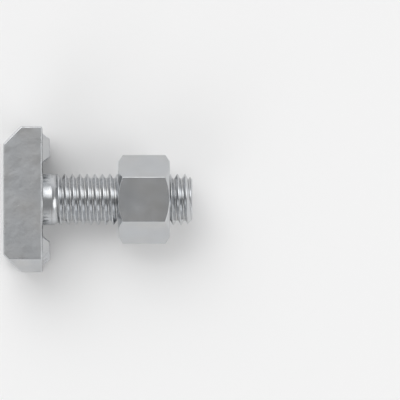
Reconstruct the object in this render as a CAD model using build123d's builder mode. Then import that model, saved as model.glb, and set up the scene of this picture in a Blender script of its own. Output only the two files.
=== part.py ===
from build123d import *
import os

os.makedirs("parts", exist_ok=True)

# T slot bolt M12 with its hexagon nut, in millimetres.
# The bolt lies along X with its head at the -X end and the head's underside in the plane x = 0.
# The head's length runs along Y and its width along Z.

# Head
head_length = 34.0
head_width = 19.5
head_thickness = 9.0
head_end_bevel = 4.1  # 45 degree bevel at both ends of the head's back
head_edge_round = 0.3

# Toothed pads on the head's underside
tooth_pitch = 3.0
tooth_count = 6
tooth_height = 1.75
tooth_root = 0.15  # height of the roots above the underside
pad_inner_end = 8.6
pad_outer_end = 15.4
pad_end_slope = 36.5  # degrees, the hip at both ends of each tooth

# Neck relief, a shallow round recess in the underside between the pads
relief_radius = 9.0
relief_depth = 0.35
neck_round = 0.6

# Shank, M12 with the thread as its plain outer cylinder
thread_radius = 6.0
shank_length = 35.0
tip_bevel = 1.2
slot_width = 2.0
slot_depth = 1.5

# Nut
nut_across_flats = 18.0
nut_height = 12.0
nut_position = 17.75  # from the head's underside to the nut's bearing face
nut_bore_clearance = 0.05  # radial, on the plain outer cylinder of the thread
nut_countersink_radius = 6.6
nut_face_radius = 8.9  # the circle that the corner bevel leaves on each face
nut_bevel_run = 1.05  # the bevel's length along the axis at a sharp corner
nut_corner_round = 0.2

half_length = head_length / 2
half_width = head_width / 2
pad_width = tooth_pitch * tooth_count

# ---------------------------------------------------------------- head blank
# Two opposite corners are rounded about the bolt's axis, so that the head can make a quarter turn
# inside its slot. The other two stay square and stop that turn.
corner_angle = Vector(half_length, 0).get_angle(Vector((half_length**2 - half_width**2) ** 0.5, half_width))

with BuildPart() as head:
    with BuildSketch(Plane.YZ.offset(-head_thickness)):
        with BuildLine():
            upper_arc = CenterArc((0, 0), half_length, 180 - corner_angle, corner_angle)
            lower_arc = CenterArc((0, 0), half_length, -corner_angle, corner_angle)
            Polyline(upper_arc @ 1, (-half_length, -half_width), lower_arc @ 0)
            Polyline(lower_arc @ 1, (half_length, half_width), upper_arc @ 0)
        make_face()
    extrude(amount=head_thickness)
    with BuildSketch(Plane.XY):
        with BuildLine():
            upper_edge = Polyline(
                (0, 0),
                (0, half_length),
                (head_end_bevel - head_thickness, half_length),
                (-head_thickness, half_length - head_end_bevel),
                (-head_thickness, 0),
            )
            mirror(upper_edge, about=Plane.XZ)
        make_face()
    extrude(amount=half_width, both=True, mode=Mode.INTERSECT)
    fillet(head.edges(), head_edge_round)

# ---------------------------------------------------------------- toothed pad
# A row of V teeth with hipped ends. The ridges run along the head, so that they bite across the
# slot's lips. The outer end follows the head's outline, square on one half and round on the other.
with BuildPart() as pad:
    with BuildSketch(Plane.YZ):
        Circle(pad_outer_end)
        with Locations((pad_inner_end, 0)):
            Rectangle(pad_outer_end, pad_width, align=(Align.MIN, Align.MAX), mode=Mode.INTERSECT)
            Rectangle(pad_outer_end - pad_inner_end, pad_width, align=(Align.MIN, Align.MIN))
    extrude(amount=tooth_height, taper=pad_end_slope)
    with BuildSketch(Plane.XZ):
        with BuildLine():
            flanks = [
                (tooth_height if n % 2 else tooth_root, n * tooth_pitch / 2 - pad_width / 2)
                for n in range(2 * tooth_count + 1)
            ]
            Polyline((-tooth_root, -pad_width / 2), *flanks, (-tooth_root, pad_width / 2), close=True)
        make_face()
    extrude(amount=-half_length, mode=Mode.INTERSECT)

# ---------------------------------------------------------------- bolt, forged in one piece
with BuildPart() as bolt:
    add(head.part)
    add(pad.part)
    add(pad.part.rotate(Axis.X, 180))
    # the neck relief also trims the inner ends of the pads
    with BuildSketch(Plane.YZ.offset(-relief_depth)):
        Circle(relief_radius)
    extrude(amount=relief_depth + tooth_height, mode=Mode.SUBTRACT)
    with BuildSketch(Plane.YZ.offset(-relief_depth)):
        Circle(thread_radius)
    extrude(amount=relief_depth + shank_length)
    neck_edge = bolt.edges(Select.LAST).filter_by(GeomType.CIRCLE).sort_by(Axis.X)[0]
    fillet(neck_edge, neck_round)
    tip_edge = bolt.edges().filter_by(GeomType.CIRCLE).sort_by(Axis.X)[-1]
    chamfer(tip_edge, tip_bevel)
    # the screwdriver slot in the tip points the way the hidden head does
    with BuildSketch(Plane.YZ.offset(shank_length - slot_depth)):
        Rectangle(3 * thread_radius, slot_width)
    extrude(amount=slot_depth, mode=Mode.SUBTRACT)

bolt.part.label = "bolt"
export_step(bolt.part, "parts/bolt.step")

# ---------------------------------------------------------------- nut
bore_radius = thread_radius + nut_bore_clearance
corner_radius = nut_across_flats / 3**0.5

with BuildPart() as nut:
    with BuildSketch(Plane.YZ.offset(nut_position)):
        RegularPolygon(nut_across_flats / 2, 6, major_radius=False)
    extrude(amount=nut_height)
    fillet(nut.edges().filter_by(Axis.X), nut_corner_round)
    # both faces are bevelled at the corners, as a turned blank is
    with BuildSketch(Plane.XY):
        with BuildLine():
            Polyline(
                (nut_position, 0),
                (nut_position, nut_face_radius),
                (nut_position + nut_bevel_run, corner_radius),
                (nut_position + nut_height - nut_bevel_run, corner_radius),
                (nut_position + nut_height, nut_face_radius),
                (nut_position + nut_height, 0),
                close=True,
            )
        make_face()
    revolve(axis=Axis.X, mode=Mode.INTERSECT)
    with BuildSketch(Plane.YZ.offset(nut_position)):
        Circle(bore_radius)
    extrude(amount=nut_height, mode=Mode.SUBTRACT)
    bore_edges = nut.edges(Select.LAST).filter_by(GeomType.CIRCLE)
    chamfer(bore_edges, nut_countersink_radius - bore_radius)

nut.part.label = "nut"
export_step(nut.part, "parts/nut.step")
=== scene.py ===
"""A T slot bolt with its hexagon nut, in bright zinc-plated steel, lying on a pale studio floor."""

import logging
import math
from dataclasses import dataclass, field
from enum import Enum

import bmesh
import bpy
from mathutils import Matrix, Vector


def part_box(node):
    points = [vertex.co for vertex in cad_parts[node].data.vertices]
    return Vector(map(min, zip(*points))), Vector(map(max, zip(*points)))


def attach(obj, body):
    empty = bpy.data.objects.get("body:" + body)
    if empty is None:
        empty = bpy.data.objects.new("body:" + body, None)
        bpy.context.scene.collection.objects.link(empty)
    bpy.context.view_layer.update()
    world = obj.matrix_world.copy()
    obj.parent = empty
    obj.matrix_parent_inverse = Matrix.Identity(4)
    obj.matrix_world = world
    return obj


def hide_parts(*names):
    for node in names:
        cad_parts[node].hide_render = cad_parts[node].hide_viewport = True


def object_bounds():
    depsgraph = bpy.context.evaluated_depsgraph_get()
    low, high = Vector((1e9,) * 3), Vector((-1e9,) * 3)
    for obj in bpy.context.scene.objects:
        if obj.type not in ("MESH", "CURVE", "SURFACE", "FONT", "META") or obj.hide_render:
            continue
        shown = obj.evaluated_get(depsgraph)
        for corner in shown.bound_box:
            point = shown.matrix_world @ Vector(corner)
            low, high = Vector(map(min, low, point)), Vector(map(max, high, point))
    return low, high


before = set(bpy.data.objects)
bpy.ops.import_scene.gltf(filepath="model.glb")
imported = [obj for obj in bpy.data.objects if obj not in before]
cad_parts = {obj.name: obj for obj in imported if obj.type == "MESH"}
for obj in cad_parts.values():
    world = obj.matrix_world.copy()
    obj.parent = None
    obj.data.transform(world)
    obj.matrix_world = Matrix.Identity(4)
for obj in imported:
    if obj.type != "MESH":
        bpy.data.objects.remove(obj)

LOG = logging.getLogger("t_slot_bolt")
CAD_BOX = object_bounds()
ROUNDING = "rounding"  # the mesh attribute by which the finishes find the rubbed edges and the hollows that get painted shade
MM = 0.001  # a millimetre, in metres
SEGMENTS = 144  # the points round a full circle
SPARE = 1.0  # how far a cutter reaches past what it cuts, in millimetres
NEAR = 0.01  # how close two places are that count as one, in millimetres
FLAT_BEND = math.radians(0.2)  # faces that meet at less than this lie in one flat region
EDGE_BEND = 20.0  # the least bend of an edge that gets rounded, in degrees

Mesh = bmesh.types.BMesh
Edge = bmesh.types.BMEdge
Socket = bpy.types.NodeSocket
Pair = tuple[float, float]
Triple = tuple[float, float, float]
Colour = tuple[float, float, float, float]


class Axis(Enum):
    """An axis of the frame, by its place among a point's coordinates."""

    X = 0
    Y = 1
    Z = 2


class Cut(Enum):
    """How one closed mesh is combined with another."""

    JOIN = "UNION"
    REMOVE = "DIFFERENCE"
    KEEP_SHARED = "INTERSECT"


# -------- mesh tools
# Meshes are made in millimetres, which settle() turns into metres.


def arc(radius: float, start: float, end: float, steps: int) -> list[Pair]:
    """Points on a circle about the origin, from one angle in degrees to another, both among them."""
    angles = (math.radians(start + (end - start) * n / steps) for n in range(steps + 1))
    return [(radius * math.cos(a), radius * math.sin(a)) for a in angles]


def soft_corner(before: Vector, corner: Vector, after: Vector, radius: float, steps: int) -> list[Pair]:
    """Replaces a corner by a tangent arc.

    Args:
        before: The point before the corner.
        corner: The corner itself.
        after: The point after it.
        radius: The radius of the arc.
        steps: The number of chords on it.

    Returns:
        The points of the arc, from the side of the point before.
    """
    entry = (before - corner).normalized()
    leave = (after - corner).normalized()
    half = entry.angle(leave) / 2
    centre = corner + (entry + leave).normalized() * radius / math.sin(half)
    first = corner + entry * radius / math.tan(half) - centre
    last = corner + leave * radius / math.tan(half) - centre
    sweep = first.angle_signed(last)
    turns = [Matrix.Rotation(-sweep * n / steps, 2) for n in range(steps + 1)]
    return [tuple(centre + turn @ first) for turn in turns]


def face_outwards(mesh: Mesh) -> None:
    """Turns every face of a closed mesh outwards."""
    bmesh.ops.recalc_face_normals(mesh, faces=mesh.faces[:])
    if mesh.calc_volume(signed=True) < 0:
        bmesh.ops.reverse_faces(mesh, faces=mesh.faces[:])


def closed_stack(rings: list[list[Vector]]) -> Mesh:
    """Makes a closed mesh from rings with one count of points, with a flat face at each end.

    Args:
        rings: The outlines from one end to the other, each in the same order.

    Returns:
        The closed mesh, with its normals outwards.
    """
    mesh = bmesh.new()
    rows = [[mesh.verts.new(point) for point in ring] for ring in rings]
    count = len(rings[0])
    for lower, upper in zip(rows, rows[1:]):
        for n in range(count):
            after = (n + 1) % count
            mesh.faces.new((lower[n], lower[after], upper[after], upper[n]))
    mesh.faces.new(rows[0])
    mesh.faces.new(rows[-1])
    face_outwards(mesh)
    return mesh


def extruded(outline: list[Pair], axis: Axis, start: float, end: float) -> Mesh:
    """Draws an outline out along an axis.

    Args:
        outline: Its points, each with its coordinates on the other two axes.
        axis: The axis that it is drawn along.
        start: Where it starts on that axis.
        end: Where it ends.

    Returns:
        The closed mesh.
    """
    rings = []
    for level in (start, end):
        rings.append([Vector((*point[: axis.value], level, *point[axis.value :])) for point in outline])
    return closed_stack(rings)


def turned(profile: list[Pair]) -> Mesh:
    """Turns (x, radius) points, none of them on the X axis, about that axis into a closed mesh."""
    circle = arc(1.0, 0.0, 360.0, SEGMENTS)[:-1]
    return closed_stack([[Vector((x, radius * y, radius * z)) for y, z in circle] for x, radius in profile])


def new_object(name: str, data: bpy.types.ID) -> bpy.types.Object:
    """Makes an object and links it to the scene.

    Args:
        name: The object's name.
        data: What it holds.

    Returns:
        The object.
    """
    made = bpy.data.objects.new(name, data)
    bpy.context.scene.collection.objects.link(made)
    return made


def mesh_object(name: str, mesh: Mesh) -> bpy.types.Object:
    """Makes an object of a mesh.

    Args:
        name: The object's name.
        mesh: Its shape, which is freed.

    Returns:
        The object, linked to the scene.
    """
    data = bpy.data.meshes.new(name)
    mesh.to_mesh(data)
    mesh.free()
    return new_object(name, data)


def combine(base: Mesh, tool: Mesh, cut: Cut) -> Mesh:
    """Combines two closed meshes into one and frees them both.

    Args:
        base: The mesh that is added to or cut.
        tool: The mesh that is joined to it or cuts it.
        cut: How the two are combined.

    Returns:
        The closed result.
    """
    objects = [mesh_object("combine", source) for source in (base, tool)]
    modifier = objects[0].modifiers.new("combine", "BOOLEAN")
    modifier.operation = cut.value
    modifier.solver = "MANIFOLD"
    modifier.object = objects[1]
    evaluated = objects[0].evaluated_get(bpy.context.evaluated_depsgraph_get())
    result = bmesh.new()
    result.from_mesh(evaluated.to_mesh())
    evaluated.to_mesh_clear()
    for made in objects:
        data = made.data
        bpy.data.objects.remove(made)
        bpy.data.meshes.remove(data)
    return result


def bend(edge: Edge) -> float:
    """The angle between an edge's two faces, in degrees."""
    return math.degrees(edge.calc_face_angle(0.0))


def weld(mesh: Mesh, reach: float) -> None:
    """Welds points that lie within reach of one another and removes the slivers between them."""
    bmesh.ops.remove_doubles(mesh, verts=mesh.verts[:], dist=reach)
    bmesh.ops.dissolve_degenerate(mesh, dist=reach, edges=mesh.edges[:])


def merge_flats(mesh: Mesh) -> None:
    """Welds a mesh that was cut and dissolves the edges inside its flat regions."""
    weld(mesh, reach=0.002)
    bmesh.ops.dissolve_limit(mesh, angle_limit=FLAT_BEND, verts=mesh.verts[:], edges=mesh.edges[:])


def round_edges(mesh: Mesh, edges: list[Edge], width: float, segments: int) -> None:
    """Rounds the given edges in place.

    Args:
        mesh: The mesh that holds them.
        edges: The edges to round.
        width: How far the rounding reaches from each edge.
        segments: The number of facets across it.
    """
    bmesh.ops.bevel(
        mesh,
        geom=edges,
        offset=width,
        offset_type="OFFSET",
        segments=segments,
        profile=0.5,
        affect="EDGES",
        clamp_overlap=False,
        miter_outer="ARC",
    )


# -------- finishing a piece


def mark_roundings(mesh: Mesh) -> None:
    """Gives each narrow facet along an edge a value: 1 where the edge is convex and -1 where it is hollow.

    Args:
        mesh: The whole piece, in millimetres.
    """
    widest = 0.42
    least_bend = 7
    most_bend = 62
    layer = mesh.faces.layers.float.new(ROUNDING)
    for face in mesh.faces:
        if face.calc_area() > widest * max(edge.calc_length() for edge in face.edges):
            continue
        bends = [bend(edge) if edge.is_convex else -bend(edge) for edge in face.edges if edge.is_manifold]
        rounded = [angle for angle in bends if least_bend < abs(angle) < most_bend]
        strongest = max(rounded, key=abs, default=0.0)
        face[layer] = math.copysign(1.0, strongest) if strongest else 0.0


def finished(name: str, mesh: Mesh, materials: list[bpy.types.Material]) -> bpy.types.Object:
    """Turns a mesh into a smooth-shaded object, still in millimetres.

    Args:
        name: The object's name.
        mesh: Its shape, which is freed.
        materials: Its materials, in the order of its material slots.

    Returns:
        The object, linked to the scene.
    """
    sharp_bend = 38.0
    weld(mesh, reach=0.0005)
    face_outwards(mesh)
    for face in mesh.faces:
        face.smooth = True
    for edge in mesh.edges:
        edge.smooth = bend(edge) < sharp_bend
    mark_roundings(mesh)
    open_edges = sum(not edge.is_manifold for edge in mesh.edges)
    piece = mesh_object(name, mesh)
    for material in materials:
        piece.data.materials.append(material)
    weighted = piece.modifiers.new("flat faces stay flat", "WEIGHTED_NORMAL")
    weighted.keep_sharp = True
    split = piece.modifiers.new("no thin triangles", "TRIANGULATE")
    split.min_vertices = 5
    split.ngon_method = "BEAUTY"
    split.keep_custom_normals = True
    LOG.info("%s: %d faces, %d open edges", name, len(piece.data.polygons), open_edges)
    return piece


def settle(piece: bpy.types.Object, node: str) -> None:
    """Scales a piece to metres and ties it to the CAD node that it stands for.

    Args:
        piece: The piece, in millimetres.
        node: The CAD node that it rides on and replaces.
    """
    piece.data.transform(Matrix.Scale(MM, 4))
    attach(piece, node)
    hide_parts(node)


# -------- thread


class ThreadSide(Enum):
    """Which of the two mating threads is meant."""

    ON_BOLT = "on the bolt"
    IN_NUT = "in the nut"


@dataclass
class ScrewThread:
    """The 60 degree metric thread that the bolt and the nut share, both in one phase along X."""

    pitch: float = 1.75
    mean_radius: float = 5.43
    play: float = 0.03  # radial, on either side of the mean radius
    bolt_crest_radius: float = 5.97
    bolt_root_round: float = 0.285
    nut_crest_radius: float = 5.053
    nut_root_radius: float = 6.06
    flank_angle: float = 30.0  # between a flank and the thread's cross-section
    corner_round: float = 0.05
    corner_steps: int = 2
    root_steps: int = 4
    phase: float = 0.0  # where a crest of the bolt's thread crosses the XY half plane y > 0
    runout_start: float = 2.2  # where the bolt's thread starts, from the head's underside
    runout_end: float = 4.9  # where it has its full depth

    def corners(self, side: ThreadSide) -> list[tuple[Vector, float]]:
        """The corners of one pitch and how far each is rounded.

        Args:
            side: Which of the two threads is meant.

        Returns:
            (along, radius) corners, from the middle of a bolt crest onwards, each with its round.
        """
        slope = math.tan(math.radians(self.flank_angle))
        quarter = self.pitch / 4
        if side is ThreadSide.ON_BOLT:
            mean = self.mean_radius - self.play
            crest = quarter - (self.bolt_crest_radius - mean) * slope
            return [
                (Vector((crest, self.bolt_crest_radius)), self.corner_round),
                (Vector((2 * quarter, mean - quarter / slope)), self.bolt_root_round),
                (Vector((self.pitch - crest, self.bolt_crest_radius)), self.corner_round),
            ]
        mean = self.mean_radius + self.play
        root = quarter - (self.nut_root_radius - mean) * slope
        flat = quarter - (mean - self.nut_crest_radius) * slope
        return [
            (Vector((root, self.nut_root_radius)), self.corner_round),
            (Vector((2 * quarter - flat, self.nut_crest_radius)), self.corner_round),
            (Vector((2 * quarter + flat, self.nut_crest_radius)), self.corner_round),
            (Vector((self.pitch - root, self.nut_root_radius)), self.corner_round),
        ]

    def profile(self, side: ThreadSide) -> list[Pair]:
        """One pitch of the thread with its corners rounded.

        Args:
            side: Which of the two threads is meant.

        Returns:
            (along, radius) points of one pitch, the last point of which leads on to the next pitch.
        """
        corners = self.corners(side)
        shift = Vector((self.pitch, 0.0))
        places = [corners[-1][0] - shift, *(place for place, _ in corners), corners[0][0] + shift]
        points: list[Pair] = []
        for before, (place, radius), after in zip(places, corners, places[2:]):
            steps = self.root_steps if radius > self.corner_round else self.corner_steps
            points += soft_corner(before, place, after, radius, steps)
        return points

    def section(self, side: ThreadSide, turns: range, advance: float) -> list[Pair]:
        """The thread's outline in one half plane through the axis.

        Args:
            side: Which of the two threads is meant.
            turns: The turns that the outline runs through.
            advance: How far round the half plane lies, as a share of a turn.

        Returns:
            (x, radius) points along the thread.
        """
        profile = self.profile(side)
        crest = max(radius for _, radius in profile)
        runout = self.runout_end - self.runout_start
        points = []
        for turn in turns:
            for along, radius in profile:
                x = self.phase + self.pitch * (turn + advance) + along
                if side is ThreadSide.ON_BOLT:
                    # the groove deepens along the run-out in a smooth step
                    depth = min(1.0, max(0.0, (x - self.runout_start) / runout))
                    radius = crest - (crest - radius) * depth * depth * (3 - 2 * depth)
                points.append((x, radius))
        return points

    def rod(self, side: ThreadSide, start: float, end: float) -> Mesh:
        """A closed threaded rod about the X axis, with ragged ends that lie outside start and end.

        Args:
            side: Which of the two threads the rod carries.
            start: The lowest x that has to have its full section.
            end: The highest x that has to have its full section.

        Returns:
            The closed mesh.
        """
        first_turn = math.floor((start - self.phase) / self.pitch) - 1
        last_turn = math.ceil((end - self.phase) / self.pitch) + 1
        turns = range(first_turn, last_turn)
        per_turn = len(self.profile(side))
        mesh = bmesh.new()
        columns = []
        for n, (y, z) in enumerate(arc(1.0, 0.0, 360.0, SEGMENTS)[:-1]):
            section = self.section(side, turns, n / SEGMENTS)
            columns.append([mesh.verts.new((x, radius * y, radius * z)) for x, radius in section])
        # the last column meets the first one a whole turn further on
        columns.append(columns[0][per_turn:])
        for left, right in zip(columns, columns[1:]):
            for n in range(min(len(left), len(right)) - 1):
                mesh.faces.new((left[n], right[n], right[n + 1], left[n + 1]))
        lower = [column[0] for column in columns[:-1]] + columns[0][per_turn:0:-1]
        upper = [column[-1] for column in columns[:-1]] + columns[-2][-2 : -per_turn - 2 : -1]
        for rim in (lower, upper):
            middle = mesh.verts.new((rim[0].co.x, 0.0, 0.0))
            for one, other in zip(rim, rim[1:] + rim[:1]):
                mesh.faces.new((one, other, middle))
        face_outwards(mesh)
        return mesh


# -------- the bolt


@dataclass
class ToothedPad:
    """A row of V teeth with hipped ends, which stands on the head's underside at y > 0."""

    pitch: float = 3.0
    count: int = 6
    height: float = 1.75
    root: float = 0.15
    inner_end: float = 8.6
    outer_end: float = 15.4
    end_slope: float = 36.5
    edge_round: float = 0.14
    foot: float = 0.5  # how deep the block reaches into the head
    steps_per_tooth: int = 6

    def outline(self, level: float) -> list[Vector]:
        """The block's outline at a height, square where z > 0 and round where z < 0.

        Args:
            level: The height above the head's underside.

        Returns:
            The points of the outline.
        """
        inset = level * math.tan(math.radians(self.end_slope))
        side = self.pitch * self.count / 2
        inner = self.inner_end + inset
        outer = self.outer_end - inset
        # the round half is divided where the crests and the roots meet it
        steps = self.steps_per_tooth * self.count // 2
        depths = [side * n / steps for n in range(steps, -1, -1)]
        round_end = [(math.sqrt(outer * outer - depth * depth), -depth) for depth in depths]
        points = [(inner, side), (inner, -side), *round_end, (outer, side)]
        return [Vector((level, y, z)) for y, z in points]

    def ridges(self) -> Mesh:
        """The row of ridges along Y.

        Returns:
            The closed mesh, longer than the pad.
        """
        half = self.pitch * self.count / 2
        heights = (self.root, self.height)
        flanks = [(heights[n % 2], n * self.pitch / 2 - half) for n in range(2 * self.count + 1)]
        # the outer flanks go on down past the side walls of the block
        fall = (self.height - self.root) / (self.pitch / 2)
        spread = (self.root + 2 * self.foot) / fall
        flanks[0] = (-2 * self.foot, -half - spread)
        flanks[-1] = (-2 * self.foot, half + spread)
        return extruded(flanks, Axis.Y, self.inner_end / 2, 2 * self.outer_end)

    def build(self) -> Mesh:
        """The pad with sharp edges, as a closed mesh that reaches into the head."""
        block = closed_stack([self.outline(-self.foot), self.outline(self.height + self.foot)])
        return combine(block, self.ridges(), Cut.KEEP_SHARED)


@dataclass
class BoltHead:
    """The forged head, with two opposite corners rounded so that it can turn inside its slot."""

    length: float
    width: float
    thickness: float
    end_bevel: float = 4.1
    edge_round: float = 0.32
    edge_steps: int = 3
    tooth_bend: float = 45.0  # what EDGE_BEND is on the teeth
    relief_radius: float = 9.0
    relief_depth: float = 0.35
    relief_round: float = 0.12
    arc_steps: int = 18
    pad: ToothedPad = field(default_factory=ToothedPad)

    def blank(self) -> Mesh:
        """The plain head.

        Returns:
            The closed mesh, with its outer edges rounded.
        """
        half_length = self.length / 2
        half_width = self.width / 2
        angle = math.degrees(math.asin(half_width / half_length))
        outline = [
            (half_length, half_width),
            *arc(half_length, 180 - angle, 180, self.arc_steps),
            (-half_length, -half_width),
            *arc(half_length, -angle, 0, self.arc_steps),
        ]
        plate = extruded(outline, Axis.X, -self.thickness, 0.0)
        # the side view cuts only the bevels, and elsewhere it reaches past the plate
        shoulder = self.end_bevel - self.thickness
        side_view = [
            (SPARE, -half_length - SPARE),
            (shoulder + SPARE, -half_length - SPARE),
            (-self.thickness - SPARE, self.end_bevel - half_length + SPARE),
            (-self.thickness - SPARE, half_length - self.end_bevel - SPARE),
            (shoulder + SPARE, half_length + SPARE),
            (SPARE, half_length + SPARE),
        ]
        cutter = extruded(side_view, Axis.Z, -self.width, self.width)
        head = combine(plate, cutter, Cut.KEEP_SHARED)
        merge_flats(head)
        outer_edges = [edge for edge in head.edges if bend(edge) > EDGE_BEND]
        round_edges(head, outer_edges, self.edge_round, self.edge_steps)
        return head

    def is_tooth_edge(self, edge: Edge) -> bool:
        """Tells the edges of the teeth that are rounded from those that stay sharp.

        Args:
            edge: An edge of the head.

        Returns:
            Whether it is a crest, a root or a hip, clear of the wall of the relief.
        """
        on_pad = all(vert.co.x > self.pad.root - NEAR for vert in edge.verts)
        on_wall = all(vert.co.yz.length < self.relief_radius + NEAR for vert in edge.verts)
        return bend(edge) > self.tooth_bend and on_pad and not on_wall

    def build(self) -> Mesh:
        """The head with both pads and the round relief between them.

        Returns:
            The closed mesh.
        """
        head = self.blank()
        for turn in (0.0, 180.0):
            pad = self.pad.build()
            bmesh.ops.rotate(pad, verts=pad.verts[:], matrix=Matrix.Rotation(math.radians(turn), 3, "X"))
            head = combine(head, pad, Cut.JOIN)
        floor = self.relief_radius - self.relief_round
        profile = [
            (-self.relief_depth, floor),
            (self.relief_round - self.relief_depth, self.relief_radius),
            (self.thickness, self.relief_radius),
        ]
        head = combine(head, turned(profile), Cut.REMOVE)
        merge_flats(head)
        tooth_edges = [edge for edge in head.edges if self.is_tooth_edge(edge)]
        round_edges(head, tooth_edges, self.pad.edge_round, self.edge_steps)
        return head


@dataclass
class Shank:
    """The threaded shank, with a plain neck under the head and a screwdriver slot in its tip."""

    length: float
    radius: float = 6.0
    foot: float = 2.0  # how deep the shank reaches into the head
    neck_round: float = 0.6
    neck_steps: int = 8
    neck_floor: float = -0.35
    neck_end: float = 2.0
    neck_bevel: float = 0.2  # where the neck ends under the first turn of the thread
    tip_bevel: float = 1.2
    tip_round: float = 0.25
    tip_steps: int = 3
    slot_width: float = 2.0
    slot_depth: float = 1.5
    slot_edge: float = 0.12

    def neck(self) -> Mesh:
        """The plain neck, which flares into the head.

        Returns:
            The closed mesh.
        """
        centre = (self.neck_floor + self.neck_round, self.radius + self.neck_round)
        flare = [(centre[0] + x, centre[1] + r) for x, r in arc(self.neck_round, 180, 270, self.neck_steps)]
        foot = (self.neck_floor - self.neck_round, self.radius + self.neck_round)
        end = (self.neck_end + self.neck_bevel, self.radius - self.neck_bevel)
        return turned([foot, *flare, (self.neck_end, self.radius), end])

    def tip_envelope(self) -> Mesh:
        """The turned shape that bevels the tip.

        Returns:
            The closed mesh, as long as the whole shank and more.
        """
        tip = Vector((self.length, self.radius - self.tip_bevel))
        shoulder = Vector((self.length - self.tip_bevel - SPARE, self.radius + SPARE))
        middle = Vector((self.length, 0.0))
        rounded = soft_corner(shoulder, tip, middle, self.tip_round, self.tip_steps)
        return turned([(-self.length, shoulder.y), tuple(shoulder), *rounded])

    def slot(self) -> Mesh:
        """The cutter of the screwdriver slot.

        Returns:
            The closed mesh, which also breaks the slot's upper edges.
        """
        half = self.slot_width / 2
        top = self.length
        section = [
            (top - self.slot_depth, -half),
            (top - self.slot_depth, half),
            (top - self.slot_edge, half),
            (top + SPARE, half + SPARE + self.slot_edge),
            (top + SPARE, -half - SPARE - self.slot_edge),
            (top - self.slot_edge, -half),
        ]
        return extruded(section, Axis.Y, -2 * self.radius, 2 * self.radius)

    def build(self, thread: ScrewThread) -> Mesh:
        """The whole shank.

        Args:
            thread: The thread that it carries.

        Returns:
            The closed mesh, which reaches into the head.
        """
        rod = thread.rod(ThreadSide.ON_BOLT, -self.foot, self.length + SPARE)
        rod = combine(rod, self.tip_envelope(), Cut.KEEP_SHARED)
        rod = combine(rod, self.slot(), Cut.REMOVE)
        return combine(rod, self.neck(), Cut.JOIN)


@dataclass
class Bolt:
    """The whole bolt, one forged piece with a rolled thread."""

    head: BoltHead
    shank: Shank
    name: str = "threaded_bolt"

    @classmethod
    def from_frame(cls) -> "Bolt":
        """The bolt at the size of its CAD node.

        Returns:
            The bolt.
        """
        low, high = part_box("bolt")
        size = [(top - bottom) / MM for bottom, top in zip(low, high)]
        head = BoltHead(length=size[1], width=size[2], thickness=-low[0] / MM)
        return cls(head=head, shank=Shank(length=high[0] / MM))

    def build(self, thread: ScrewThread) -> bpy.types.Object:
        """Builds the bolt and dresses it.

        Args:
            thread: The thread on its shank.

        Returns:
            The finished piece.
        """
        mesh = combine(self.head.build(), self.shank.build(thread), Cut.JOIN)
        piece = finished(self.name, mesh, [FORGED_HEAD.material(), ROLLED_SHANK.material()])
        shank_reach = self.shank.radius + self.shank.neck_round / 2
        for polygon in piece.data.polygons:
            polygon.material_index = int(polygon.center.x > 0 and polygon.center.yz.length < shank_reach)
        settle(piece, "bolt")
        return piece


# -------- the nut


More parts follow.
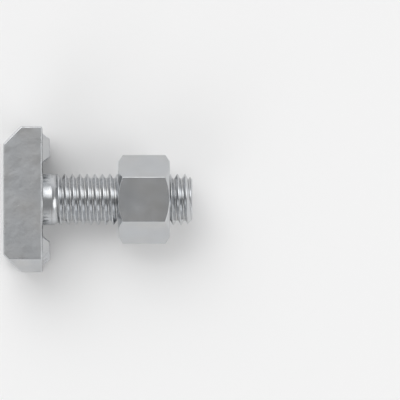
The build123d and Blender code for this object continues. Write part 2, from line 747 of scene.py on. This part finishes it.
@dataclass
class HexagonNut:
    """The nut, bevelled at the corners of both faces, with a countersunk threaded bore."""

    start: float
    end: float
    across_flats: float
    corner_round: float = 0.2
    corner_steps: int = 4
    face_radius: float = 8.9  # of the circle that the corner bevel leaves on each face
    bevel_run: float = 1.05
    edge_round: float = 0.06
    edge_steps: int = 2
    countersink_radius: float = 6.55
    countersink_depth: float = 1.55
    name: str = "hexagon_nut"

    @classmethod
    def from_frame(cls) -> "HexagonNut":
        """The nut at the size and place of its CAD node."""
        low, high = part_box("nut")
        return cls(start=low[0] / MM, end=high[0] / MM, across_flats=(high[2] - low[2]) / MM)

    def outline(self) -> list[Pair]:
        """The hexagon with its corners rounded.

        Returns:
            The points of the outline, with a corner on the Y axis.
        """
        radius = self.across_flats / math.sqrt(3)
        corners = [Vector(point) for point in arc(radius, 0, 360, 6)[:-1]]
        points: list[Pair] = []
        for n, corner in enumerate(corners):
            after = corners[(n + 1) % len(corners)]
            points += soft_corner(corners[n - 1], corner, after, self.corner_round, self.corner_steps)
        return points

    def blank(self) -> Mesh:
        """The bevelled hexagon with no bore.

        Returns:
            The closed mesh, with its edges rounded.
        """
        prism = extruded(self.outline(), Axis.X, self.start, self.end)
        corner = self.across_flats / math.sqrt(3)
        slope = (corner - self.face_radius) / self.bevel_run
        wide = self.face_radius + slope * (self.bevel_run + SPARE)
        narrow = self.face_radius - slope * SPARE
        profile = [
            (self.start - SPARE, narrow),
            (self.start + self.bevel_run + SPARE, wide),
            (self.end - self.bevel_run - SPARE, wide),
            (self.end + SPARE, narrow),
        ]
        blank = combine(prism, turned(profile), Cut.KEEP_SHARED)
        merge_flats(blank)
        outer_edges = [edge for edge in blank.edges if bend(edge) > EDGE_BEND]
        round_edges(blank, outer_edges, self.edge_round, self.edge_steps)
        return blank

    def countersinks(self) -> Mesh:
        """The cutter that widens both ends of the bore.

        Returns:
            The closed mesh.
        """
        wide = self.countersink_radius + SPARE
        narrow = self.countersink_radius - self.countersink_depth
        start = (self.start - SPARE, wide), (self.start + self.countersink_depth, narrow)
        end = (self.end - self.countersink_depth, narrow), (self.end + SPARE, wide)
        return turned([*start, *end])

    def is_bore_rim(self, edge: Edge) -> bool:
        """Tells the rims of the bore from the nut's other edges.

        Args:
            edge: An edge of the nut.

        Returns:
            Whether it lies where a countersink meets a face of the nut.
        """
        on_circle = all(abs(vert.co.yz.length - self.countersink_radius) < NEAR for vert in edge.verts)
        on_face = any(all(abs(vert.co.x - x) < NEAR for vert in edge.verts) for x in (self.start, self.end))
        return on_circle and on_face and bend(edge) > EDGE_BEND

    def build(self, thread: ScrewThread) -> bpy.types.Object:
        """Builds the nut and dresses it.

        Args:
            thread: The thread in its bore.

        Returns:
            The finished piece.
        """
        tap = thread.rod(ThreadSide.IN_NUT, self.start - SPARE, self.end + SPARE)
        mesh = combine(self.blank(), tap, Cut.REMOVE)
        mesh = combine(mesh, self.countersinks(), Cut.REMOVE)
        weld(mesh, reach=0.001)
        bore_rims = [edge for edge in mesh.edges if self.is_bore_rim(edge)]
        round_edges(mesh, bore_rims, self.edge_round, self.edge_steps)
        piece = finished(self.name, mesh, [FORMED_NUT.material()])
        settle(piece, "nut")
        return piece


# -------- finishes

Value = float | Triple | Colour | Socket
Inputs = dict[str | int, Value]
Layers = dict[str, Socket]


class NodeKit:
    """Short calls for building one node tree."""

    def __init__(self, tree: bpy.types.NodeTree) -> None:
        """Keeps the tree that the nodes go to."""
        self.tree = tree

    def add(self, kind: str, inputs: Inputs | None = None, **options: object) -> bpy.types.Node:
        """Adds a node.

        Args:
            kind: The node's type name.
            inputs: Values or links for its inputs, by name or number.
            options: The node's own attributes.

        Returns:
            The node.
        """
        node = self.tree.nodes.new(kind)
        for name, value in options.items():
            setattr(node, name, value)
        for key, value in (inputs or {}).items():
            if isinstance(value, Socket):
                self.tree.links.new(value, node.inputs[key])
            else:
                node.inputs[key].default_value = value
        return node

    def math(self, operation: str, *values: Value, clamp: bool = False) -> Socket:
        """Adds a Math node and gives its result."""
        node = self.add("ShaderNodeMath", dict(enumerate(values)), operation=operation, use_clamp=clamp)
        return node.outputs[0]

    def vector(self, operation: str, *values: Value) -> Socket:
        """Adds a Vector Math node and gives its result."""
        node = self.add("ShaderNodeVectorMath", dict(enumerate(values)), operation=operation)
        return node.outputs[0]

    def noise(self, place: Value, scale: Value, detail: float = 3.0, roughness: float = 0.5) -> Socket:
        """Adds a Noise Texture and gives its value, from 0 to 1."""
        settings = {"Vector": place, "Scale": scale, "Detail": detail, "Roughness": roughness}
        return self.add("ShaderNodeTexNoise", settings).outputs["Fac"]

    def between(
        self, value: Value, low: float, high: float, out_low: float = 0.0, out_high: float = 1.0
    ) -> Socket:
        """Maps a value's range smoothly to another one, held at both ends."""
        settings = {"Value": value, "From Min": low, "From Max": high, "To Min": out_low, "To Max": out_high}
        return self.add("ShaderNodeMapRange", settings, interpolation_type="SMOOTHSTEP").outputs["Result"]

    def blend(self, amount: Value, one: Value, other: Value) -> Socket:
        """Mixes two colours, which are the Mix node's inputs 6 and 7 and its output 2."""
        node = self.add("ShaderNodeMix", {0: amount, 6: one, 7: other}, data_type="RGBA")
        return node.outputs[2]


def new_group(
    name: str, inputs: dict[str, float | None], outputs: list[str]
) -> tuple[NodeKit, bpy.types.Node]:
    """Starts a shader node group.

    Args:
        name: The group's name.
        inputs: The default of each input, or None for a place in millimetres.
        outputs: The names of its outputs, each of them one number.
    """
    tree = bpy.data.node_groups.new(name, "ShaderNodeTree")
    for label, default in inputs.items():
        kind = "NodeSocketVector" if default is None else "NodeSocketFloat"
        socket = tree.interface.new_socket(name=label, in_out="INPUT", socket_type=kind)
        if default is not None:
            socket.default_value = default
    for label in outputs:
        tree.interface.new_socket(name=label, in_out="OUTPUT", socket_type="NodeSocketFloat")
    kit = NodeKit(tree)
    return kit, kit.add("NodeGroupInput")


def zinc_mottle_group() -> bpy.types.NodeTree:
    """The unevenness of bright zinc plate: soft clouds, a slow drift of colour and fine specks.

    Returns:
        The group, with the outputs Cloud, Tint and Speck, each from 0 to 1.
    """
    tint_scale = 0.55
    speck_scale = 16.0
    elsewhere = (31.0, 17.0, 5.0)  # keeps the tint from following the clouds
    kit, given = new_group("zinc mottle", {"Place": None, "Size": 3.0}, ["Cloud", "Tint", "Speck"])
    place = given.outputs["Place"]
    scale = kit.math("DIVIDE", 1.0, given.outputs["Size"])
    cloud = kit.noise(place, scale, detail=1.5, roughness=0.45)
    slower = kit.math("MULTIPLY", scale, tint_scale)
    tint = kit.noise(kit.vector("ADD", place, elsewhere), slower, detail=0.5)
    speck = kit.noise(place, kit.math("MULTIPLY", scale, speck_scale), detail=2.0, roughness=0.6)
    outputs = {
        "Cloud": kit.between(cloud, 0.25, 0.75),
        "Tint": kit.between(tint, 0.25, 0.75),
        "Speck": kit.between(speck, 0.3, 0.7),
    }
    kit.add("NodeGroupOutput", outputs)
    return kit.tree


@dataclass(frozen=True)
class NickPattern:
    """A pattern of long narrow cells that lie one way, some of which hold a nick."""

    turn: Triple  # in radians
    length: float  # of a cell, in millimetres
    width: float


NICK_PATTERNS = (
    NickPattern(turn=(0.3, 0.2, 0.5), length=8.0, width=0.3),
    NickPattern(turn=(1.3, 0.9, -0.7), length=6.0, width=0.26),
    NickPattern(turn=(0.1, -1.0, 1.9), length=11.0, width=0.34),
)


def handling_marks_group() -> bpy.types.NodeTree:
    """Short straight nicks that lie every way, left by handling in bulk.

    Returns:
        The group, whose output Mark is the amount asked for on a nick and 0 elsewhere.
    """
    core = 0.08  # a nick's deepest part and its rim, in cells from the middle
    rim = 0.16
    empty_share = 0.78  # of the cells
    kit, given = new_group("handling marks", {"Place": None, "Amount": 0.5}, ["Mark"])
    nicks: Value = 0.0
    for pattern in NICK_PATTERNS:
        settings = {"Vector": given.outputs["Place"], "Rotation": pattern.turn}
        place = kit.add("ShaderNodeMapping", settings).outputs[0]
        place = kit.vector("MULTIPLY", place, (1 / pattern.length, 1 / pattern.width, 1 / pattern.width))
        cell = kit.add("ShaderNodeTexVoronoi", {"Vector": place, "Scale": 1.0, "Randomness": 1.0})
        depth = kit.between(cell.outputs["Distance"], core, rim, 1.0, 0.0)
        draw = kit.add("ShaderNodeSeparateColor", {0: cell.outputs["Color"]}).outputs[0]
        chosen = kit.math("GREATER_THAN", draw, empty_share)
        nicks = kit.math("MAXIMUM", nicks, kit.math("MULTIPLY", depth, chosen))
    kit.add("NodeGroupOutput", {"Mark": kit.math("MULTIPLY", nicks, given.outputs["Amount"])})
    return kit.tree


def edge_wear_and_shade_group() -> bpy.types.NodeTree:
    """Where rounded edges have been rubbed bright, and painted shade for the hollow facets.

    Returns:
        The group, with the output Rubbed and an output that masks the painted shade on hollow facets.
    """
    least_rubbed = 0.35
    inputs = {"Place": None, "Rounding": 0.0, "Amount": 0.5}
    kit, given = new_group("edge wear and hollow shade", inputs, ["Rubbed", "HollowShade"])
    patches = kit.noise(given.outputs["Place"], 1.3, detail=4.0, roughness=0.6)
    convex = kit.math("MAXIMUM", given.outputs["Rounding"], 0.0)
    rubbed = kit.math("MULTIPLY", convex, kit.between(patches, 0.38, 0.62, least_rubbed, 1.0))
    # the hollow facets are marked for painted shade, a darkening that stands in for the shade that falls in
    # them
    concave = kit.math("MULTIPLY", given.outputs["Rounding"], -1.0)
    outputs = {
        "Rubbed": kit.math("MULTIPLY", rubbed, given.outputs["Amount"]),
        "HollowShade": kit.math("MAXIMUM", concave, 0.0),
    }
    kit.add("NodeGroupOutput", outputs)
    return kit.tree


MOTTLE = zinc_mottle_group()
MARKS = handling_marks_group()
WEAR_AND_SHADE = edge_wear_and_shade_group()


class Grain(Enum):
    """The marks that the making leaves under the plating."""

    FORGED = "forged"
    ROLLED = "rolled"
    COLD_FORMED = "cold formed"


def shaded(colour: Colour, factor: float) -> Colour:
    """A colour made brighter or darker."""
    red, green, blue = (min(1.0, channel * factor) for channel in colour[:3])
    return red, green, blue, colour[3]


@dataclass(frozen=True)
class ZincFinish:
    """Bright zinc plate over steel, with the grain that the making left."""

    name: str
    grain: Grain
    cool_colour: Colour
    warm_colour: Colour
    dull_colour: Colour
    roughness: float
    roughness_spread: float
    grain_depth: float  # the height of the grain, in millimetres
    wave_length: float  # how far apart the surface's slow waves are, in millimetres
    wave_depth: float
    marks: float = 0.6  # how much the handling marks show, from 0 to 1
    wear: float = 0.7  # how much the edges are rubbed, from 0 to 1
    mottle_size: float = 3.0  # of the plate's clouds, in millimetres
    dull_share: float = 0.6  # the most that the dull colour takes over
    rubbed_gain: float = 1.14  # how much brighter the plate is where it is rubbed
    rubbed_gloss: float = 0.06  # how much lower its roughness is there
    hollow_shade_share: float = 0.2  # how much of the painted shade colour the hollows take
    hollow_shade_level: float = 0.55  # the painted shade colour's brightness, next to the dull colour
    speck_share: float = 0.4  # how far the specks move the roughness, next to the clouds
    mark_gloss: float = 0.05
    mark_depth: float = 0.006  # in millimetres
    fine_share: float = 0.21  # how much of a forged skin is its finer part

    def layers(self, kit: NodeKit, place: Socket) -> Layers:
        """Adds the shared groups, set as this finish needs them.

        Args:
            kit: The material's node kit.
            place: The place on the piece, in millimetres.

        Returns:
            The outputs of the groups, by name.
        """
        rounding = kit.add("ShaderNodeAttribute", attribute_name=ROUNDING).outputs["Fac"]
        wear_and_shade_settings = {"Place": place, "Rounding": rounding, "Amount": self.wear}
        groups = (
            kit.add("ShaderNodeGroup", {"Place": place, "Size": self.mottle_size}, node_tree=MOTTLE),
            kit.add("ShaderNodeGroup", wear_and_shade_settings, node_tree=WEAR_AND_SHADE),
            kit.add("ShaderNodeGroup", {"Place": place, "Amount": self.marks}, node_tree=MARKS),
        )
        return {output.name: output for group in groups for output in group.outputs}

    def base_colour(self, kit: NodeKit, layers: Layers) -> Socket:
        """The colour of the plate, brighter where it is rubbed, with painted shade darkening the hollows.

        Args:
            kit: The material's node kit.
            layers: The outputs of the shared groups.

        Returns:
            The colour.
        """
        colour = kit.blend(layers["Tint"], self.cool_colour, self.warm_colour)
        dullness = kit.math("MULTIPLY_ADD", layers["Cloud"], -self.dull_share, self.dull_share)
        colour = kit.blend(dullness, colour, self.dull_colour)
        worn = kit.math("MAXIMUM", layers["Rubbed"], layers["Mark"])
        colour = kit.blend(worn, colour, shaded(self.cool_colour, self.rubbed_gain))
        # painted shade: the hollow facets take a darker colour that stands in for the shade falling in them
        hollow = kit.math("MULTIPLY", layers["HollowShade"], self.hollow_shade_share)
        return kit.blend(hollow, colour, shaded(self.dull_colour, self.hollow_shade_level))

    def local_roughness(self, kit: NodeKit, layers: Layers) -> Socket:
        """The roughness of the plate, lower in its clear places and where it is rubbed.

        Args:
            kit: The material's node kit.
            layers: The outputs of the shared groups.

        Returns:
            The roughness.
        """
        rough = kit.math("MULTIPLY_ADD", layers["Cloud"], -self.roughness_spread, self.roughness)
        rough = kit.math("MULTIPLY_ADD", layers["Speck"], self.roughness_spread * self.speck_share, rough)
        rough = kit.math("MULTIPLY_ADD", layers["Rubbed"], -self.rubbed_gloss, rough)
        return kit.math("MULTIPLY_ADD", layers["Mark"], -self.mark_gloss, rough, clamp=True)

    def surface_height(self, kit: NodeKit, place: Socket) -> Socket:
        """Adds the waves and the grain and gives their height over the true form, in millimetres."""
        waves = kit.math("MULTIPLY", kit.noise(place, 1 / self.wave_length, detail=1.0), self.wave_depth)
        return kit.math("MULTIPLY_ADD", self.grain_height(kit, place), self.grain_depth, waves)

    def grain_height(self, kit: NodeKit, place: Socket) -> Socket:
        """The uneven skin that forging leaves, or the lines that rollers, dies and turning tools leave.

        Args:
            kit: The material's node kit.
            place: The place on the piece, in millimetres.

        Returns:
            The height of the grain, from 0 to 1.
        """
        if self.grain is Grain.FORGED:
            coarse = kit.math("MULTIPLY", kit.noise(place, 1.5, detail=1.0), 1 - self.fine_share)
            return kit.math("MULTIPLY_ADD", kit.noise(place, 3.6, detail=1.0), self.fine_share, coarse)
        # rolling leaves lines round the shank, and the die leaves lines along the flats of the nut
        stretch = (9.0, 0.6, 0.6) if self.grain is Grain.ROLLED else (0.35, 5.0, 5.0)
        lines = kit.noise(kit.vector("MULTIPLY", place, stretch), 1.0, detail=3.0, roughness=0.6)
        # the end faces are turned, with rings about the X axis
        end_facing = 0.97
        parts = kit.add("ShaderNodeSeparateXYZ", {0: place}).outputs
        squares = [kit.math("MULTIPLY", part, part) for part in (parts["Y"], parts["Z"])]
        radius = kit.math("SQRT", kit.math("ADD", *squares))
        ring_settings = {"W": radius, "Scale": 7.0, "Detail": 2.0}
        rings = kit.add("ShaderNodeTexNoise", ring_settings, noise_dimensions="1D")
        normal = kit.add("ShaderNodeTexCoord").outputs["Normal"]
        facing = kit.math("ABSOLUTE", kit.add("ShaderNodeSeparateXYZ", {0: normal}).outputs["X"])
        on_end = kit.math("GREATER_THAN", facing, end_facing)
        settings = {0: on_end, 2: lines, 3: rings.outputs["Fac"]}
        return kit.add("ShaderNodeMix", settings, data_type="FLOAT").outputs[0]

    def material(self) -> bpy.types.Material:
        """The finish as a material.

        Returns:
            The material.
        """
        material = bpy.data.materials.new(self.name)
        material.use_nodes = True
        kit = NodeKit(material.node_tree)
        kit.tree.nodes.clear()
        metres = kit.add("ShaderNodeTexCoord").outputs["Object"]
        place = kit.vector("MULTIPLY", metres, (1 / MM,) * 3)
        layers = self.layers(kit, place)
        height = kit.math("MULTIPLY_ADD", layers["Mark"], -self.mark_depth, self.surface_height(kit, place))
        bump = kit.add("ShaderNodeBump", {"Height": height, "Distance": MM, "Strength": 1.0})
        settings = {
            "Base Color": self.base_colour(kit, layers),
            "Metallic": 1.0,
            "Roughness": self.local_roughness(kit, layers),
            "Normal": bump.outputs[0],
        }
        shader = kit.add("ShaderNodeBsdfPrincipled", settings)
        kit.add("ShaderNodeOutputMaterial", {"Surface": shader.outputs[0]})
        return material


FORGED_HEAD = ZincFinish(
    name="forged_zinc",
    grain=Grain.FORGED,
    cool_colour=(0.521, 0.536, 0.553, 1.0),
    warm_colour=(0.537, 0.539, 0.539, 1.0),
    dull_colour=(0.485, 0.497, 0.511, 1.0),
    roughness=0.345,
    roughness_spread=0.06,
    grain_depth=0.025,
    wave_length=3.3,
    wave_depth=0.07,
)
ROLLED_SHANK = ZincFinish(
    name="rolled_zinc",
    grain=Grain.ROLLED,
    cool_colour=(0.535, 0.550, 0.569, 1.0),
    warm_colour=(0.553, 0.554, 0.553, 1.0),
    dull_colour=(0.508, 0.520, 0.533, 1.0),
    roughness=0.24,
    roughness_spread=0.05,
    grain_depth=0.006,
    wave_length=3.0,
    wave_depth=0.01,
    marks=0.3,
    wear=0.6,
)
FORMED_NUT = ZincFinish(
    name="formed_zinc",
    grain=Grain.COLD_FORMED,
    cool_colour=(0.531, 0.547, 0.564, 1.0),
    warm_colour=(0.550, 0.551, 0.549, 1.0),
    dull_colour=(0.505, 0.515, 0.528, 1.0),
    roughness=0.24,
    roughness_spread=0.06,
    grain_depth=0.006,
    wave_length=8.0,
    wave_depth=0.12,
)


# -------- studio


@dataclass(frozen=True)
class SoftLamp:
    """A wide round lamp, so far off that it lights the whole floor alike."""

    name: str
    azimuth: float
    elevation: float
    spread: float  # how wide the lamp looks from the object, in degrees
    strength: float

    def build(self) -> None:
        """Hangs the lamp."""
        data = bpy.data.lights.new(self.name, "SUN")
        data.angle = math.radians(self.spread)
        data.energy = self.strength
        lamp = new_object(self.name, data)
        azimuth = math.radians(self.azimuth)
        elevation = math.radians(self.elevation)
        flat = math.cos(elevation)
        towards = Vector((flat * math.cos(azimuth), flat * math.sin(azimuth), math.sin(elevation)))
        lamp.rotation_euler = towards.to_track_quat("Z", "Y").to_euler()


@dataclass
class Studio:
    """A pale floor under soft lamps, seen from straight above."""

    floor_level: float
    view_width: float = 0.0934  # in metres
    view_centre: Pair = (0.0368, -0.00014)
    lens: float = 1200.0
    floor_radius: float = 6.0
    floor_colour: Colour = (0.93, 0.93, 0.93, 1.0)
    floor_roughness: float = 0.9
    floor_sheen: float = 0.1
    horizon_level: float = 0.9  # how bright the room is up to the horizon height
    horizon_height: float = 0.15  # the sine of the elevation
    overhead_level: float = 0.36  # how bright it is above the overhead height
    overhead_height: float = 0.85
    lamps: tuple[SoftLamp, ...] = (
        SoftLamp("key lamp", azimuth=118, elevation=53, spread=36, strength=0.5),
        SoftLamp("key halo", azimuth=118, elevation=53, spread=60, strength=0.7),
        SoftLamp("fill lamp", azimuth=-20, elevation=40, spread=40, strength=0.5),
        SoftLamp("rim lamp", azimuth=-125, elevation=35, spread=34, strength=0.3),
    )

    def floor(self) -> None:
        """Lays the floor."""
        mesh = bmesh.new()
        bmesh.ops.create_circle(mesh, cap_ends=True, segments=64, radius=self.floor_radius)
        floor = mesh_object("floor", mesh)
        floor.location.z = self.floor_level
        material = bpy.data.materials.new("floor paint")
        material.use_nodes = True
        shader = material.node_tree.nodes["Principled BSDF"]
        shader.inputs["Base Color"].default_value = self.floor_colour
        shader.inputs["Roughness"].default_value = self.floor_roughness
        shader.inputs["Specular IOR Level"].default_value = self.floor_sheen
        floor.data.materials.append(material)

    def world(self) -> None:
        """Lights the room from all round, brighter at the walls than overhead."""
        world = bpy.data.worlds.new("studio room")
        bpy.context.scene.world = world
        world.use_nodes = True
        kit = NodeKit(world.node_tree)
        kit.tree.nodes.clear()
        direction = kit.add("ShaderNodeTexCoord").outputs["Generated"]
        height = kit.add("ShaderNodeSeparateXYZ", {0: direction}).outputs["Z"]
        heights = (self.horizon_height, self.overhead_height)
        level = kit.between(height, *heights, self.horizon_level, self.overhead_level)
        light = kit.add("ShaderNodeBackground", {"Color": (1.0, 1.0, 1.0, 1.0), "Strength": level})
        kit.add("ShaderNodeOutputWorld", {"Surface": light.outputs[0]})

    def camera(self) -> None:
        """Sets the camera straight above the object, with the head to the left."""
        data = bpy.data.cameras.new("camera")
        data.lens = self.lens
        distance = self.view_width * self.lens / data.sensor_width
        data.clip_start = distance / 100
        data.clip_end = distance * 2
        camera = new_object("camera", data)
        camera.location = (*self.view_centre, distance)
        bpy.context.scene.camera = camera

    def build(self) -> None:
        """Builds the whole studio."""
        self.floor()
        self.world()
        for lamp in self.lamps:
            lamp.build()
        self.camera()
        bpy.context.scene.view_settings.view_transform = "Standard"


def main() -> None:
    """Builds the bolt, its nut and the studio."""
    logging.basicConfig(level=logging.INFO, format="%(name)s: %(message)s")
    thread = ScrewThread()
    for part in (Bolt.from_frame(), HexagonNut.from_frame()):
        piece = part.build(thread)
        triangles = sum(len(polygon.vertices) - 2 for polygon in piece.data.polygons)
        LOG.info("built %s, %d triangles", piece.name, triangles)
    Studio(floor_level=CAD_BOX[0][2]).build()


if __name__ == "__main__":
    main()
